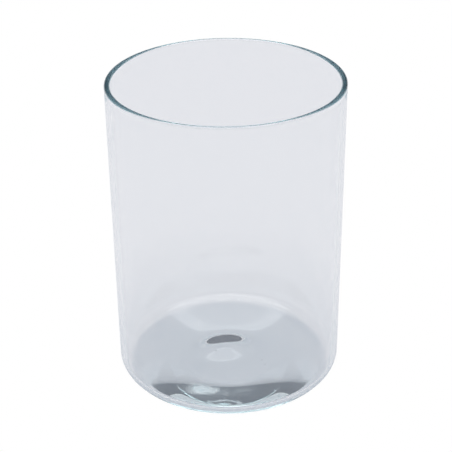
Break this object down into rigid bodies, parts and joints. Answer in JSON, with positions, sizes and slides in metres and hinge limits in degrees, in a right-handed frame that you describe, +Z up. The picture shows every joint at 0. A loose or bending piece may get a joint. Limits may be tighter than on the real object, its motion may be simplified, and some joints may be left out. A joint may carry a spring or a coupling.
{
  "type": "crystallizing dish",
  "caption": "Tall-form crystallizing dish of clear glass: straight round wall, melted rim, base domed outwards with a dimple at its middle, open top, no spout.",
  "frame": {"origin": "centre of the ring that the dish stands on, at the height of the surface it rests on", "axes": "+Z up along the axis of the dish, out of its mouth; the dish is round, so +X and +Y are any level pair"},
  "size_m": [0.1, 0.1, 0.1413],
  "materials": {
    "clear_glass": "clear, fire-polished"
  },
  "bodies": {
    "root": {"glass_dish": "clear_glass"}
  },
  "joints": []
}
